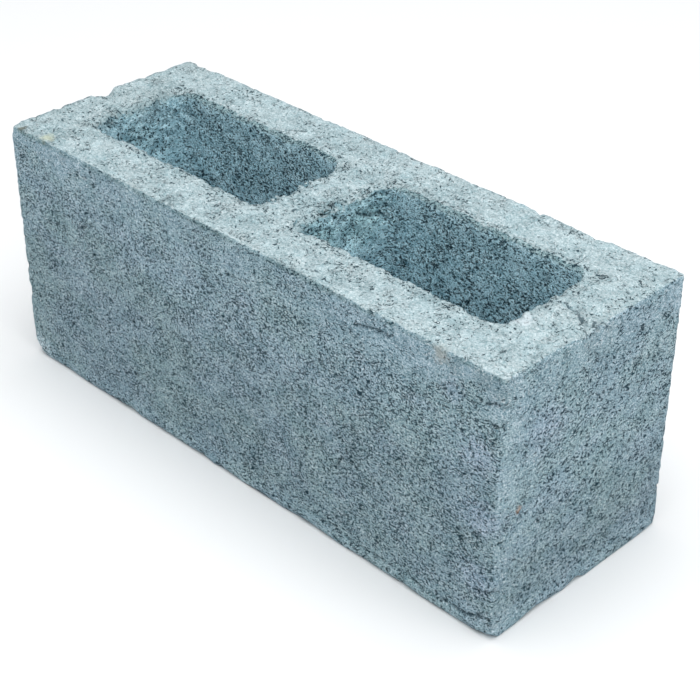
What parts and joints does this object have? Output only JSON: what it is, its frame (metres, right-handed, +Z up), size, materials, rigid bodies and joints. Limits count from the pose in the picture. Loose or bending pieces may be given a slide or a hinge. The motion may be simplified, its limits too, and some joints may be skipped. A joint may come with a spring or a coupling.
{
  "type": "hollow concrete block",
  "caption": "Rectangular hollow concrete masonry block with tapered cores right through its height, open-textured faces and chipped arrises, for laying in walls.",
  "frame": {"origin": "centre of the underside, the bed that the block stands on", "axes": "+X along the block, +Y across it towards the back face, +Z up along the cores"},
  "size_m": [0.39, 0.14, 0.16],
  "materials": {
    "concrete": "matte"
  },
  "bodies": {
    "root": {"concrete_block": "concrete"}
  },
  "joints": []
}
